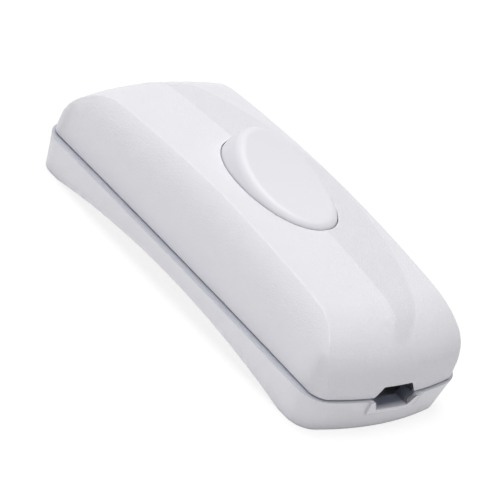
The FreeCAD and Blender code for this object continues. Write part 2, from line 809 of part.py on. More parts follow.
def rocker_form():
    """The drum between a flat base and a dished top with a rounded rim."""
    reach = size.rocker_end_radius
    top_x = root(reach * reach - size.rocker_top * size.rocker_top)
    dish_radius = top_x * top_x / (2 * size.rocker_dish) + size.rocker_dish / 2
    wide = reach + OVERRUN
    edge = size.rocker_top - size.rocker_dish + dish_radius - root(dish_radius * dish_radius - wide * wide)
    drop = -1.0 * size.rocker_skirt
    corners = [(-1.0 * wide, drop), (wide, drop), (wide, edge), (-1.0 * wide, edge)]
    sketch = loose_sketch("rocker_side", "XZ", corners, {2: -1.0 * dish_radius})
    side_view = extrude("rocker_side_form", sketch, size.rocker_half_width * 4, symmetric=True)
    form = common("rocker_form", [drum("rocker_drum", ZERO, ZERO), side_view])
    rounded = doc.addObject("Part::Fillet", "rocker_rounded")
    rounded.Base = form
    doc.recompute()
    top = max(form.Shape.Faces, key=lambda face: face.CenterOfMass.z)
    radius = number(size.rocker_edge_round)
    rounded.Edges = [(index, radius, radius) for index, edge in enumerate(form.Shape.Edges, start=1)
                     if any(edge.isSame(side) for side in top.Edges)]
    return rounded


def rocker():
    """Hollow from below, with a post for the plunger and a stub at each side."""
    wall = size.rocker_wall
    ceiling = size.rocker_top - size.rocker_dish - wall
    under = block("rocker_under", (-1.0 * size.rocker_end_radius, -1.0 * size.rocker_half_width,
                                   -2.0 * size.rocker_skirt),
                  (size.rocker_end_radius, size.rocker_half_width, ceiling))
    hollow = common("rocker_hollow", [drum("rocker_inner_drum", -1.0 * wall, ZERO), under])
    shell = cut("rocker_shell", rocker_form(), hollow)
    post = rod("rocker_post", size.post_radius, -1.0 * size.post_length, ceiling + wall / 2, ZERO, ZERO)
    stubs = cross_rod("rocker_stubs", size.pivot_radius, size.rocker_half_width + size.pivot_length, ZERO)
    bore = rod("plunger_bore", size.plunger_radius + size.plunger_clearance, -2.0 * size.post_length,
               size.spring_seat, ZERO, ZERO)
    inner = size.rocker_half_width - wall / 2
    middle = block("stub_gap", (-2.0 * size.pivot_radius, -1.0 * inner, -2.0 * size.pivot_radius),
                   (2.0 * size.pivot_radius, inner, 2.0 * size.pivot_radius))
    side_stubs = cut("rocker_side_stubs", stubs, middle)
    piece = cut("rocker", fuse("rocker_solid", [shell, post, side_stubs]), bore)
    tilt(piece, size.rocker_tilt, pivot_height)
    return piece


def plunger():
    """A round-nosed pin in the rocker's post."""
    radius = size.plunger_radius
    shoulder = -1.0 * size.plunger_reach + radius
    body = doc.addObject("PartDesign::Body", "plunger")
    sketch = body_sketch(body, "plunger_profile", "XZ")
    draw(sketch, [(ZERO, -1.0 * size.plunger_reach), (radius, shoulder), (radius, -1.0 * size.plunger_top),
                  (ZERO, -1.0 * size.plunger_top)], {0: radius})
    turn = body.newObject("PartDesign::Revolution", "plunger_turn")
    turn.Profile = sketch
    turn.ReferenceAxis = (sketch, ["V_Axis"])
    turn.Angle = 360
    tilt(body, size.rocker_tilt, pivot_height)
    return body


def rocker_spring():
    """A coil spring between the bore's end and the plunger."""
    low = -1.0 * size.plunger_top + size.spring_wire / 2
    height = size.spring_seat - size.spring_wire / 2 - low
    helix = doc.addObject("Part::Helix", "spring_path")
    bind(helix, Radius=size.spring_radius, Height=height, Pitch=height / size.spring_turns)
    helix.setExpression("Placement.Base.z", formula(low))
    wire = doc.addObject("Part::Circle", "spring_wire_section")
    wire.Placement = FreeCAD.Placement(Vector(), Rotation(Vector(1, 0, 0), 90))
    bind(wire, Radius=size.spring_wire / 2)
    bind(wire, Placement_Base_x=size.spring_radius, Placement_Base_z=low)
    coil = doc.addObject("Part::Sweep", "rocker_spring")
    coil.Sections = [wire]
    coil.Spine = (helix, ["Edge1"])
    coil.Solid = True
    coil.Frenet = True
    tilt(coil, size.rocker_tilt, pivot_height)
    return coil


# See-saw contact and terminals

def contact_bridge():
    """A brass see-saw with a round trough that sits on the fulcrum."""
    trough = size.fulcrum_radius + size.fulcrum_clearance
    arm = size.bridge_top - size.bridge_arm
    body = doc.addObject("PartDesign::Body", "contact_bridge")
    sketch = body_sketch(body, "bridge_profile", "XZ")
    reach = size.bridge_half_length
    draw(sketch, [(-1.0 * reach, arm), (-1.0 * size.bridge_hub, arm), (-1.0 * trough, ZERO), (trough, ZERO),
                  (size.bridge_hub, arm), (reach, arm), (reach, size.bridge_top),
                  (-1.0 * reach, size.bridge_top)], {2: -1.0 * trough})
    pad(body, "bridge_strip", sketch, size.bridge_width, symmetric=True)
    tilt(body, -1.0 * size.bridge_tilt, fulcrum_height)
    return body


def moving_contact():
    """A silver button under the see-saw's front arm."""
    body = doc.addObject("PartDesign::Body", "moving_contact")
    sketch = body_sketch(body, "moving_contact_plan", "XY", size.bridge_top - size.bridge_arm)
    draw_circle(sketch, (size.contact_offset, ZERO), size.contact_radius)
    pad(body, "moving_contact_button", sketch, size.contact_thickness, flipped=True)
    tilt(body, -1.0 * size.bridge_tilt, fulcrum_height)
    return body


def fixed_contact():
    """A silver button on the outgoing strip, just clear of the closed see-saw."""
    strip_top = strip_height + size.strip_thickness
    hang = size.bridge_top - size.bridge_arm - size.contact_thickness
    far = size.contact_offset + size.contact_radius
    closed = fulcrum_height - far * sine(size.bridge_tilt) + hang * cosine(size.bridge_tilt)
    body = doc.addObject("PartDesign::Body", "fixed_contact")
    sketch = body_sketch(body, "fixed_contact_plan", "XY", strip_top)
    draw_circle(sketch, (size.contact_offset, ZERO), size.contact_radius)
    pad(body, "fixed_contact_button", sketch, closed - size.contact_touch_gap - strip_top)
    return body


def terminal_block(body, name, x, y):
    """A pillar with a cross hole for the wire and a screw hole from above."""
    half_x = size.block_length / 2
    half_y = size.block_width / 2
    sketch = body_sketch(body, f"{name}_plan", "XY", block_base)
    draw(sketch, [(x - half_x, y - half_y), (x + half_x, y - half_y), (x + half_x, y + half_y),
                  (x - half_x, y + half_y)], {})
    pad(body, f"{name}_pillar", sketch, size.block_height)


def terminal_holes(body, name, x, y):
    top = block_base + size.block_height
    screw = body_sketch(body, f"{name}_screw_hole", "XY", top)
    draw_circle(screw, (x, y), size.screw_radius + size.screw_clearance)
    pocket(body, f"{name}_thread", screw, size.screw_length + size.screw_clearance)
    wire = body_sketch(body, f"{name}_wire_hole", "YZ", x)
    draw_circle(wire, (y, top - size.wire_drop), size.wire_radius)
    pocket(body, f"{name}_wire_way", wire, size.block_length * 2, symmetric=True)


def live_in_terminal():
    """Rear terminal whose strip ends in the fulcrum under the see-saw."""
    body = doc.addObject("PartDesign::Body", "live_in_terminal")
    x = -1.0 * block_offset
    y = -1.0 * size.live_offset
    terminal_block(body, "live_in", x, y)
    edge = y + size.live_strip_width / 2
    half = size.bridge_width / 2
    end = size.fulcrum_radius * 2
    sketch = body_sketch(body, "live_in_strip_plan", "XY", strip_height)
    draw(sketch, [(x, y - size.live_strip_width / 2), (end, y - size.live_strip_width / 2), (end, half),
                  (-1.0 * size.bridge_hub, half), (-1.0 * size.bridge_hub, edge), (x, edge)], {})
    pad(body, "live_in_strip", sketch, size.strip_thickness)
    ridge = size.fulcrum_radius
    saddle = body_sketch(body, "fulcrum_profile", "XZ")
    draw(saddle, [(-1.0 * ridge, strip_height), (ridge, strip_height), (ridge, fulcrum_height),
                  (-1.0 * ridge, fulcrum_height)], {2: ridge})
    pad(body, "fulcrum", saddle, size.bridge_width, symmetric=True)
    terminal_holes(body, "live_in", x, y)
    return body


def live_out_terminal():
    """Front terminal whose strip carries the fixed contact."""
    body = doc.addObject("PartDesign::Body", "live_out_terminal")
    x = block_offset
    y = -1.0 * size.live_offset
    terminal_block(body, "live_out", x, y)
    edge = y + size.live_strip_width / 2
    half = size.bridge_width / 2
    tab = size.contact_radius + size.strip_thickness
    sketch = body_sketch(body, "live_out_strip_plan", "XY", strip_height)
    far_edge = y - size.live_strip_width / 2
    draw(sketch, [(size.contact_offset - tab, far_edge), (x, far_edge), (x, edge),
                  (size.contact_offset + tab, edge), (size.contact_offset + tab, half),
                  (size.contact_offset - tab, half)], {})
    pad(body, "live_out_strip", sketch, size.strip_thickness)
    terminal_holes(body, "live_out", x, y)
    return body


def neutral_bar():
    """A through bar with a terminal at each end for the unswitched core."""
    body = doc.addObject("PartDesign::Body", "neutral_bar")
    y = size.neutral_offset
    x = block_offset
    half = size.neutral_strip_width / 2
    sketch = body_sketch(body, "neutral_strip_plan", "XY", strip_height)
    draw(sketch, [(-1.0 * x, y - half), (x, y - half), (x, y + half), (-1.0 * x, y + half)], {})
    pad(body, "neutral_strip", sketch, size.strip_thickness)
    for end, place in (("front", x), ("rear", -1.0 * x)):
        terminal_block(body, f"neutral_{end}", place, y)
    for end, place in (("front", x), ("rear", -1.0 * x)):
        terminal_holes(body, f"neutral_{end}", place, y)
    return body


def screw(name, x, y, seat, shank_radius, length, head_radius, head_height, points_up=False):
    """A slotted cheese-head screw with its head on the seat height."""
    body = doc.addObject("PartDesign::Body", name)
    profile = body_sketch(body, f"{name}_profile", "XZ")
    draw(profile, [(ZERO, -1.0 * length), (shank_radius, -1.0 * length), (shank_radius, ZERO),
                   (head_radius, ZERO), (head_radius, head_height), (ZERO, head_height)], {})
    turn = body.newObject("PartDesign::Revolution", f"{name}_turn")
    turn.Profile = profile
    turn.ReferenceAxis = (profile, ["V_Axis"])
    turn.Angle = 360
    half = size.screw_slot / 2
    groove = body_sketch(body, f"{name}_slot", "XY", head_height)
    draw(groove, [(-1.0 * head_radius, -1.0 * half), (head_radius, -1.0 * half), (head_radius, half),
                  (-1.0 * head_radius, half)], {})
    pocket(body, f"{name}_driver_slot", groove, head_height / 2)
    angle = 180 if points_up else 0
    body.Placement = FreeCAD.Placement(Vector(), Rotation(Vector(1, 0, 0), angle))
    bind(body, Placement_Base_x=x, Placement_Base_y=y, Placement_Base_z=seat)
    return body


def terminal_screws():
    top = block_base + size.block_height
    places = [("live_in_screw", -1.0 * block_offset, -1.0 * size.live_offset),
              ("live_out_screw", block_offset, -1.0 * size.live_offset),
              ("neutral_front_screw", block_offset, size.neutral_offset),
              ("neutral_rear_screw", -1.0 * block_offset, size.neutral_offset)]
    return [screw(name, x, y, top, size.screw_radius, size.screw_length, size.screw_head_radius,
                  size.screw_head_height) for name, x, y in places]


# Cord clamps and housing screws

def cord_clamp(end, sign):
    """A bar across the cord, with a rib that bites on it."""
    body = doc.addObject("PartDesign::Body", f"{end}_cord_clamp")
    x = clamp_offset * sign
    half_x = size.clamp_length / 2
    half_y = size.clamp_width / 2
    plan = body_sketch(body, f"{end}_clamp_plan", "XY", clamp_seat)
    draw(plan, [(x - half_x, -1.0 * half_y), (x + half_x, -1.0 * half_y), (x + half_x, half_y),
                (x - half_x, half_y)], {})
    pad(body, f"{end}_clamp_bar", plan, size.clamp_thickness)
    rib = body_sketch(body, f"{end}_clamp_rib_plan", "XY", clamp_seat)
    grip = size.cord_rest_width / 2
    bite = size.clamp_rib_width / 2
    draw(rib, [(x - bite, -1.0 * grip), (x + bite, -1.0 * grip), (x + bite, grip), (x - bite, grip)], {})
    pad(body, f"{end}_clamp_rib", rib, size.cord_grip, flipped=True)
    for side in (1.0, -1.0):
        name = f"{end}_clamp_hole_{'left' if side > 0 else 'right'}"
        hole = body_sketch(body, name, "XY", clamp_seat)
        draw_circle(hole, (x, size.clamp_screw_offset * side),
                    size.clamp_screw_radius + size.screw_clearance)
        pocket(body, f"{name}_cut", hole, size.clamp_thickness * 2, flipped=True)
    return body


def clamp_screws(end, sign):
    seat = clamp_seat + size.clamp_thickness
    return [screw(f"{end}_{side}_clamp_screw", clamp_offset * sign, size.clamp_screw_offset * place, seat,
                  size.clamp_screw_radius, size.clamp_screw_length, size.clamp_head_radius,
                  size.clamp_head_height) for side, place in (("left", 1.0), ("right", -1.0))]


def housing_screws():
    seat = screw_seat - size.fix_seat_wall
    length = size.fix_seat_wall + size.fix_bite
    return [screw(f"{end}_housing_screw", x, y, seat, size.fix_screw_radius, length, size.fix_head_radius,
                  size.fix_head_height, points_up=True) for end, x, y in fix_places()]


# Assembly

pieces = [upper_housing(), lower_housing(), rocker(), plunger(), rocker_spring(), contact_bridge(),
          moving_contact(), fixed_contact(), live_in_terminal(), live_out_terminal(), neutral_bar()]
pieces += terminal_screws()
for end, sign in (("front", 1.0), ("rear", -1.0)):
    pieces.append(cord_clamp(end, sign))
    pieces += clamp_screws(end, sign)
pieces += housing_screws()

doc.recompute()

for item in doc.Objects:
    if "Invalid" in item.State or "Error" in item.State:
        raise RuntimeError(f"{item.Label} failed: {item.State}")
for piece in pieces:
    if piece.Shape.isNull() or not piece.Shape.isValid():
        raise RuntimeError(f"{piece.Label} has no valid shape")

os.makedirs("parts", exist_ok=True)
for piece in pieces:
    piece.Shape.exportStep(f"parts/{piece.Label}.step")
    print(piece.Label, len(piece.Shape.Solids), round(piece.Shape.Volume, 2))
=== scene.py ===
import json
import math

import bpy
from mathutils import Matrix, Vector


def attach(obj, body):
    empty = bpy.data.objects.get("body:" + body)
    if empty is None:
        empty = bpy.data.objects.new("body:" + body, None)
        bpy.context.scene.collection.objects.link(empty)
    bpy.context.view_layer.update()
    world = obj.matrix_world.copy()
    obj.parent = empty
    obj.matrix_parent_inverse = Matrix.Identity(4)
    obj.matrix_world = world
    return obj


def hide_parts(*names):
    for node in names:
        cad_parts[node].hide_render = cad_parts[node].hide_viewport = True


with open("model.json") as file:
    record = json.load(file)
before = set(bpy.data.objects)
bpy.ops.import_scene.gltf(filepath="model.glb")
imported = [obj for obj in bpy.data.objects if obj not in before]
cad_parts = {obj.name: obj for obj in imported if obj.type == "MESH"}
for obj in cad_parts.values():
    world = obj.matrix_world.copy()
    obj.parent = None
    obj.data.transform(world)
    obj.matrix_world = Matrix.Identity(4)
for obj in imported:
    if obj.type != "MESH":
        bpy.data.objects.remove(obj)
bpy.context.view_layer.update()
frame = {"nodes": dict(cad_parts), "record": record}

# Camera, fitted to the photograph: angles in degrees, distances in metres, lens and sensor in millimetres
CAMERA_AZIMUTH = 38.07
CAMERA_ELEVATION = 29.47
CAMERA_ROLL = 24.2
CAMERA_DISTANCE = 0.6385
CAMERA_OFFSET = (0.000058, 0.000084)
CAMERA_TARGET = Vector((0.0, 0.0, 0.0063))
CAMERA_LENS = 277.92
SENSOR_WIDTH = 36.0
NEAR_CLIP = 0.01

# Rocker: what lies above the cap's height is scaled about the pivot, metres
ROCKER_PIVOT = Vector((0.0, 0.0, 0.0159))
ROCKER_CAP = 0.0176
ROCKER_SCALE = (1.010, 1.016, 1.010)

# Plastics: colour, roughness, grain scale per metre, grain height in metres, mottling
PLASTICS = {
    "shell_plastic": ((0.80, 0.792, 0.832), 0.42, 4000.0, 0.00012, 0.012),
    "rocker_plastic": ((0.776, 0.769, 0.81), 0.45, 2600.0, 0.00001, 0.008),
    "acetal": ((0.78, 0.77, 0.72), 0.35, 1500.0, 0.000004, 0.012),
    "clamp_plastic": ((0.75, 0.75, 0.74), 0.45, 2600.0, 0.00002, 0.012),
}

# Metals: colour, roughness
METALS = {
    "brass": ((0.78, 0.6, 0.28), 0.3),
    "contact_silver": ((0.84, 0.83, 0.8), 0.22),
    "plated_steel": ((0.66, 0.67, 0.69), 0.3),
    "spring_steel": ((0.55, 0.55, 0.56), 0.28),
}

# Surfaces: noise scales per metre, reaches and heights in metres
NOISE_ROUGHNESS = 0.55
MOTTLING_SCALE = 260.0
MOTTLING_DETAIL = 2.0
GLOSS_SCALE = 900.0
GLOSS_DETAIL = 2.0
GLOSS_SPREAD = 0.06
GRAIN_DETAIL = 3.0
GRAIN_ROUGHNESS = 0.6
ROUNDING = 0.0004
ROUNDING_SAMPLES = 8
# Painted shade in narrow crevices: how far it looks, its samples and its tint
CREVICE_REACH = 0.0006
CREVICE_SAMPLES = 8
CREVICE_SHADE_TINT = (0.62, 0.64, 0.69)
TARNISH_SCALE = 500.0
TARNISH_DETAIL = 3.0
TARNISH = 0.9
SCRATCH_SCALE = 2400.0
SCRATCH_DETAIL = 4.0
SCRATCH_DEPTH = 0.00003
SCRATCH_STRENGTH = 0.3
SCRATCH_GLOSS = (-0.08, 0.12)

# Housing, in metres from the frame's origin. A pair is the two ends of a range, and a fade is the width of
# the soft edge beside it. Slopes are parts of the unit normal.
# Painted highlight along edges: its tint, width and samples, and the heights where it is dulled
EDGE_HIGHLIGHT_TINT = (1.09, 1.09, 1.09)
EDGE_WIDTH = 0.0003
EDGE_SAMPLES = 6
EDGE_TURN = (0.994, 0.9996)
EDGE_DULL_HEIGHTS = (0.0090, 0.0125)
EDGE_DULL_FADE = 0.003
EDGE_DULL_SHARE = 0.2

# Painted shade on the ledge under the parting line
LEDGE_SHADE_TINT = (0.66, 0.68, 0.72)
LEDGE_SLOPES = (0.7, 0.9)
LEDGE_HEIGHTS = (0.0055, 0.0088)
LEDGE_FADE = 0.0004

# Painted shade in the cord slots
SLOT_SHADE_TINT = (0.6, 0.64, 0.76)
SLOT_DEPTHS = (0.0380, 0.0400)
SLOT_WIDTHS = (-0.0048, 0.0048)
SLOT_SIDE_FADE = 0.0003
SLOT_HEIGHTS = (0.0040, 0.0090)
SLOT_HEIGHT_FADE = 0.0004
SLOT_WALL_SLOPES = (0.4, 0.7)

# Painted shadow lines under each collar and beside it on its right
COLLAR_SHADOW_TINT = (0.78, 0.79, 0.82)
COLLAR_END_SLOPES = (0.6, 0.7)
COLLAR_END_REACH = (0.0380, 0.0382)
COLLAR_LINE_FADE = 0.0001
RIGHT_LINE_SLANT = 0.27
RIGHT_LINE_PLACES = (0.00490, 0.00538)
RIGHT_LINE_HEIGHTS = (0.0035, 0.0062)
RIGHT_LINE_END_FADE = 0.0002
LOW_LINE_HEIGHTS = (0.00296, 0.00314)
LOW_LINE_WIDTHS = (-0.0049, 0.0052)
LOW_LINE_END_FADE = 0.0004
LOW_LINE_SHARE = 0.5
COLLAR_SIDE_SLOPES = (0.5, 0.6)
COLLAR_SIDE_REACH = (0.0385, 0.0386)
COLLAR_SIDE_WIDTHS = (0.0050, 0.0058)
COLLAR_SIDE_FADE = 0.0001
COLLAR_SIDE_HEIGHTS = (0.0064, 0.0066)
CREVICE_HEIGHTS = (0.0057, 0.0060)

CROWN_SLOPES = (0.45, 0.6)
CROWN_HEIGHTS = (0.010, 0.011)
KEEL_REACH = 0.0361
KEEL_SPREAD = 0.0129
KEEL_EXPONENT = 1.8
KEEL_RIM = (0.96, 1.0)
RIDGE_WIDTH = (-0.0001, 0.0001)
FACET_LEAN = 0.10
FACET_SHADE_TINT = (0.974, 0.974, 0.976)
NOSE_HEIGHT = 0.0002
NOSE_STEP = (0.88, 1.0)
NOSE_REACH = (0.027, 0.034)
NOSE_SIDE = (-0.0024, -0.0008)
NOSE_BLUNT_REACH = (0.0325, 0.0350)
NOSE_BLUNTNESS = 0.0016

SHOULDER_BEND = 0.12
CRISP_HEIGHTS = (0.0045, 0.0055)
CORNER_START = (0.0305, 0.0325)
CORNER_TURN = (0.0315, 0.0366)
CORNER_WAY = (0.78, 0.62)
CORNER_SLOPES = (0.35, 0.5)
CORNER_FADE = (0.0128, 0.0155)
UPPER_SHELL_HEIGHTS = (0.0066, 0.0074)
# Upward slope of the ends and sides: from, to, and the heights between which it changes
END_RISE = (0.02, 0.85, 0.0070, 0.0165)
SIDE_RISE = (0.0, 0.5, 0.0092, 0.0165)

# Stage: lamps as name, azimuth from +X and elevation in degrees, distance and width in metres, and level
WORLD_LIGHT = 0.2
FLOOR_SIZE = 6.0
FLOOR_HEIGHT = -0.00005
FLOOR_ROUGHNESS = 0.9
FLOOR_COLOUR = (0.88, 0.88, 0.89)
FLOOR_SEEN_COLOUR = (0.24, 0.24, 0.245)
FLOOR_SEEN_GLOW = 0.81
SOFTBOXES = (
    ("rear_lamp", 165, 62, 1.0, 0.6, 0.093),
    ("top_lamp", 180, 82, 1.0, 0.7, 0.765),
    ("left_lamp", 235, 20, 1.0, 0.7, 0.13),
    ("near_lamp", 286, 16, 0.22, 0.08, 0.106),
    ("right_lamp", 28, 12, 1.0, 0.6, 0.11),
)


# Camera

def make_camera():
    """A camera at the photograph's angle, with the photograph's roll."""
    angles = (CAMERA_AZIMUTH, CAMERA_ELEVATION, CAMERA_ROLL)
    azimuth, elevation, roll = (math.radians(angle) for angle in angles)
    back = Vector((math.sin(azimuth) * math.cos(elevation), -math.cos(azimuth) * math.cos(elevation),
                   math.sin(elevation)))
    right = Vector((math.cos(azimuth), math.sin(azimuth), 0.0))
    up = back.cross(right)
    turned_right = math.cos(roll) * right + math.sin(roll) * up
    turned_up = math.cos(roll) * up - math.sin(roll) * right
    place = CAMERA_TARGET + CAMERA_DISTANCE * back
    place += CAMERA_OFFSET[0] * turned_right + CAMERA_OFFSET[1] * turned_up
    data = bpy.data.cameras.new("camera")
    data.sensor_width = SENSOR_WIDTH
    data.lens = CAMERA_LENS
    data.clip_start = NEAR_CLIP
    camera = bpy.data.objects.new("camera", data)
    bpy.context.scene.collection.objects.link(camera)
    axes = Matrix((turned_right, turned_up, back)).transposed().to_4x4()
    camera.matrix_world = Matrix.Translation(place) @ axes
    bpy.context.scene.camera = camera


# Shader nodes: each function adds nodes to a tree and gives back an output

def put(tree, value, socket):
    """Set a socket to a constant, or link it to another node's output."""
    if isinstance(value, bpy.types.NodeSocket):
        tree.links.new(value, socket)
    else:
        socket.default_value = value


def add_math(tree, operation, *values):
    node = tree.nodes.new("ShaderNodeMath")
    node.operation = operation
    for value, socket in zip(values, node.inputs):
        put(tree, value, socket)
    return node.outputs["Value"]


def add_absolute(tree, value):
    return add_math(tree, "ABSOLUTE", value)


def add_product(tree, first, *others):
    for other in others:
        first = add_math(tree, "MULTIPLY", first, other)
    return first


def add_blend(tree, factor, low, high):
    """Blend two values by a 0 to 1 value."""
    step = add_product(tree, add_math(tree, "SUBTRACT", high, low), factor)
    return add_math(tree, "ADD", low, step)


def add_ramp(tree, value, low, high, start=0.0, end=1.0):
    """Map a value from one range on to another."""
    node = tree.nodes.new("ShaderNodeMapRange")
    node.inputs["From Min"].default_value = start
    node.inputs["From Max"].default_value = end
    node.inputs["To Min"].default_value = low
    node.inputs["To Max"].default_value = high
    tree.links.new(value, node.inputs["Value"])
    return node.outputs["Result"]


def add_rise(tree, value, start, end):
    """Zero below a range of values and one above it."""
    return add_ramp(tree, value, 0.0, 1.0, start, end)


def add_fall(tree, value, start, end):
    """One below a range of values and zero above it."""
    return add_ramp(tree, value, 1.0, 0.0, start, end)


def add_window(tree, value, limits, fade):
    """One inside a range of values and zero outside it, with soft ends."""
    low, high = limits
    reach = (high - low) / 2
    away = add_absolute(tree, add_math(tree, "SUBTRACT", value, low + reach))
    return add_fall(tree, away, reach, reach + fade)


def add_vector(tree, operation, *values):
    node = tree.nodes.new("ShaderNodeVectorMath")
    node.operation = operation
    for value, socket in zip(values, node.inputs):
        tree.links.new(value, socket)
    return node.outputs["Value" if operation == "DOT_PRODUCT" else "Vector"]


def add_xyz(tree, *values):
    node = tree.nodes.new("ShaderNodeCombineXYZ")
    for value, socket in zip(values, node.inputs):
        put(tree, value, socket)
    return node.outputs["Vector"]


def add_split(tree, vector):
    node = tree.nodes.new("ShaderNodeSeparateXYZ")
    tree.links.new(vector, node.inputs["Vector"])
    return [node.outputs[axis] for axis in "XYZ"]


def add_vector_blend(tree, factor, low, high):
    """Blend two vectors by a 0 to 1 value."""
    factors = add_xyz(tree, factor, factor, factor)
    step = add_vector(tree, "MULTIPLY", add_vector(tree, "SUBTRACT", high, low), factors)
    return add_vector(tree, "ADD", low, step)


def add_place(tree):
    """The coordinates and the normal of the shaded point, in the object's axes."""
    coords = tree.nodes.new("ShaderNodeTexCoord")
    return add_split(tree, coords.outputs["Object"]), add_split(tree, coords.outputs["Normal"])


def add_noise(tree, scale, detail, roughness=NOISE_ROUGHNESS):
    coords = tree.nodes.new("ShaderNodeTexCoord")
    node = tree.nodes.new("ShaderNodeTexNoise")
    node.inputs["Scale"].default_value = scale
    node.inputs["Detail"].default_value = detail
    node.inputs["Roughness"].default_value = roughness
    tree.links.new(coords.outputs["Object"], node.inputs["Vector"])
    return node.outputs["Fac"]


def add_mix(tree, factor, low, high):
    """Blend two colours by a 0 to 1 value."""
    node = tree.nodes.new("ShaderNodeMix")
    node.data_type = "RGBA"
    node.inputs["A"].default_value = (*low, 1)
    node.inputs["B"].default_value = (*high, 1)
    tree.links.new(factor, node.inputs["Factor"])
    return node.outputs["Result"]


def add_tint(tree, colour, factor, tint):
    """Multiply a colour by a tint where the factor is one."""
    node = tree.nodes.new("ShaderNodeMix")
    node.data_type = "RGBA"
    node.blend_type = "MULTIPLY"
    node.inputs["B"].default_value = (*tint, 1)
    tree.links.new(factor, node.inputs["Factor"])
    tree.links.new(colour, node.inputs["A"])
    return node.outputs["Result"]


def add_rounding(tree, radius, samples):
    """The normal, turned at edges as if they had this radius."""
    node = tree.nodes.new("ShaderNodeBevel")
    node.samples = samples
    node.inputs["Radius"].default_value = radius
    return node.outputs["Normal"]


def add_bump(tree, height, distance, normal=None, strength=1.0):
    node = tree.nodes.new("ShaderNodeBump")
    node.inputs["Strength"].default_value = strength
    node.inputs["Distance"].default_value = distance
    tree.links.new(height, node.inputs["Height"])
    if normal:
        tree.links.new(normal, node.inputs["Normal"])
    return node.outputs["Normal"]


def add_crevice_shade(tree, colour, share=1.0):
    """Painted shade: tint a colour darker and cooler in narrow crevices."""
    node = tree.nodes.new("ShaderNodeAmbientOcclusion")
    node.samples = CREVICE_SAMPLES
    node.inputs["Distance"].default_value = CREVICE_REACH
    shade = add_product(tree, add_fall(tree, node.outputs["AO"], 0.0, 1.0), share)
    return add_tint(tree, colour, shade, CREVICE_SHADE_TINT)


# Housing masks

def add_crown_mask(tree):
    """One on the shell's top and zero on its sides and inside."""
    (_, _, z), (_, _, upward) = add_place(tree)
    return add_product(tree, add_rise(tree, upward, *CROWN_SLOPES), add_rise(tree, z, *CROWN_HEIGHTS))


def add_keel_plan(tree):
    """A value that is one on the keel's plan outline and falls towards its middle."""
    (x, y, _), _ = add_place(tree)
    powers = []
    for value, reach in ((x, KEEL_REACH), (y, KEEL_SPREAD)):
        share = add_math(tree, "DIVIDE", add_absolute(tree, value), reach)
        powers.append(add_math(tree, "POWER", share, KEEL_EXPONENT))
    return add_math(tree, "ADD", *powers)


def add_keel_facet(tree):
    """One on the keel's right facet, which ends in a blunt nose, and zero elsewhere."""
    (x, y, _), _ = add_place(tree)
    inside = add_fall(tree, add_keel_plan(tree), *KEEL_RIM)
    blunt = add_ramp(tree, add_absolute(tree, x), 0.0, NOSE_BLUNTNESS, *NOSE_BLUNT_REACH)
    right = add_rise(tree, add_math(tree, "ADD", y, blunt), *RIDGE_WIDTH)
    return add_product(tree, inside, right, add_crown_mask(tree))


def add_collar_side(tree):
    """One on the narrow upright sides of the collars round the cord slots."""
    (x, y, z), (_, sideways, _) = add_place(tree)
    return add_product(tree, add_rise(tree, add_absolute(tree, sideways), *COLLAR_SIDE_SLOPES),
                       add_rise(tree, add_absolute(tree, x), *COLLAR_SIDE_REACH),
                       add_window(tree, add_absolute(tree, y), COLLAR_SIDE_WIDTHS, COLLAR_SIDE_FADE),
                       add_fall(tree, z, *COLLAR_SIDE_HEIGHTS))


# Housing colour: painted highlight and painted shade

def add_edge_highlight(tree, colour):
    """Painted highlight on edges, a little brighter than the faces beside them, less so half way up the
    housing.
    """
    plain = tree.nodes.new("ShaderNodeNewGeometry").outputs["Normal"]
    turn = add_vector(tree, "DOT_PRODUCT", add_rounding(tree, EDGE_WIDTH, EDGE_SAMPLES), plain)
    (_, _, z), _ = add_place(tree)
    dull = add_window(tree, z, EDGE_DULL_HEIGHTS, EDGE_DULL_FADE)
    edge = add_product(tree, add_fall(tree, turn, *EDGE_TURN), add_ramp(tree, dull, 1.0, EDGE_DULL_SHARE))
    return add_tint(tree, colour, edge, EDGE_HIGHLIGHT_TINT)


def add_ledge_shade(tree, colour):
    """The cool shade on the ledge under the parting line."""
    (_, _, z), (_, _, upward) = add_place(tree)
    ledge = add_product(tree, add_rise(tree, upward, *LEDGE_SLOPES),
                        add_window(tree, z, LEDGE_HEIGHTS, LEDGE_FADE))
    return add_tint(tree, colour, ledge, LEDGE_SHADE_TINT)


def add_slot_shade(tree, colour):
    """The cool shade in the cord slots."""
    (x, y, z), (outward, _, _) = add_place(tree)
    slot = add_product(tree, add_fall(tree, add_absolute(tree, outward), *SLOT_WALL_SLOPES),
                       add_fall(tree, add_absolute(tree, x), *SLOT_DEPTHS),
                       add_window(tree, y, SLOT_WIDTHS, SLOT_SIDE_FADE),
                       add_window(tree, z, SLOT_HEIGHTS, SLOT_HEIGHT_FADE))
    return add_tint(tree, colour, slot, SLOT_SHADE_TINT)


def add_collar_shadow_lines(tree, colour):
    """The shade under each collar and beside it, on the right as seen from its end."""
    (x, y, z), (outward, _, _) = add_place(tree)
    end = add_product(tree, add_rise(tree, add_absolute(tree, outward), *COLLAR_END_SLOPES),
                      add_rise(tree, add_absolute(tree, x), *COLLAR_END_REACH))
    right = add_product(tree, y, add_math(tree, "SIGN", x))
    place = add_math(tree, "SUBTRACT", right, add_product(tree, z, RIGHT_LINE_SLANT))
    right_line = add_product(tree, add_window(tree, place, RIGHT_LINE_PLACES, COLLAR_LINE_FADE),
                             add_window(tree, z, RIGHT_LINE_HEIGHTS, RIGHT_LINE_END_FADE))
    low_line = add_product(tree, add_window(tree, z, LOW_LINE_HEIGHTS, COLLAR_LINE_FADE),
                           add_window(tree, y, LOW_LINE_WIDTHS, LOW_LINE_END_FADE), LOW_LINE_SHARE)
    lines = add_product(tree, end, add_math(tree, "MAXIMUM", right_line, low_line))
    return add_tint(tree, colour, lines, COLLAR_SHADOW_TINT)


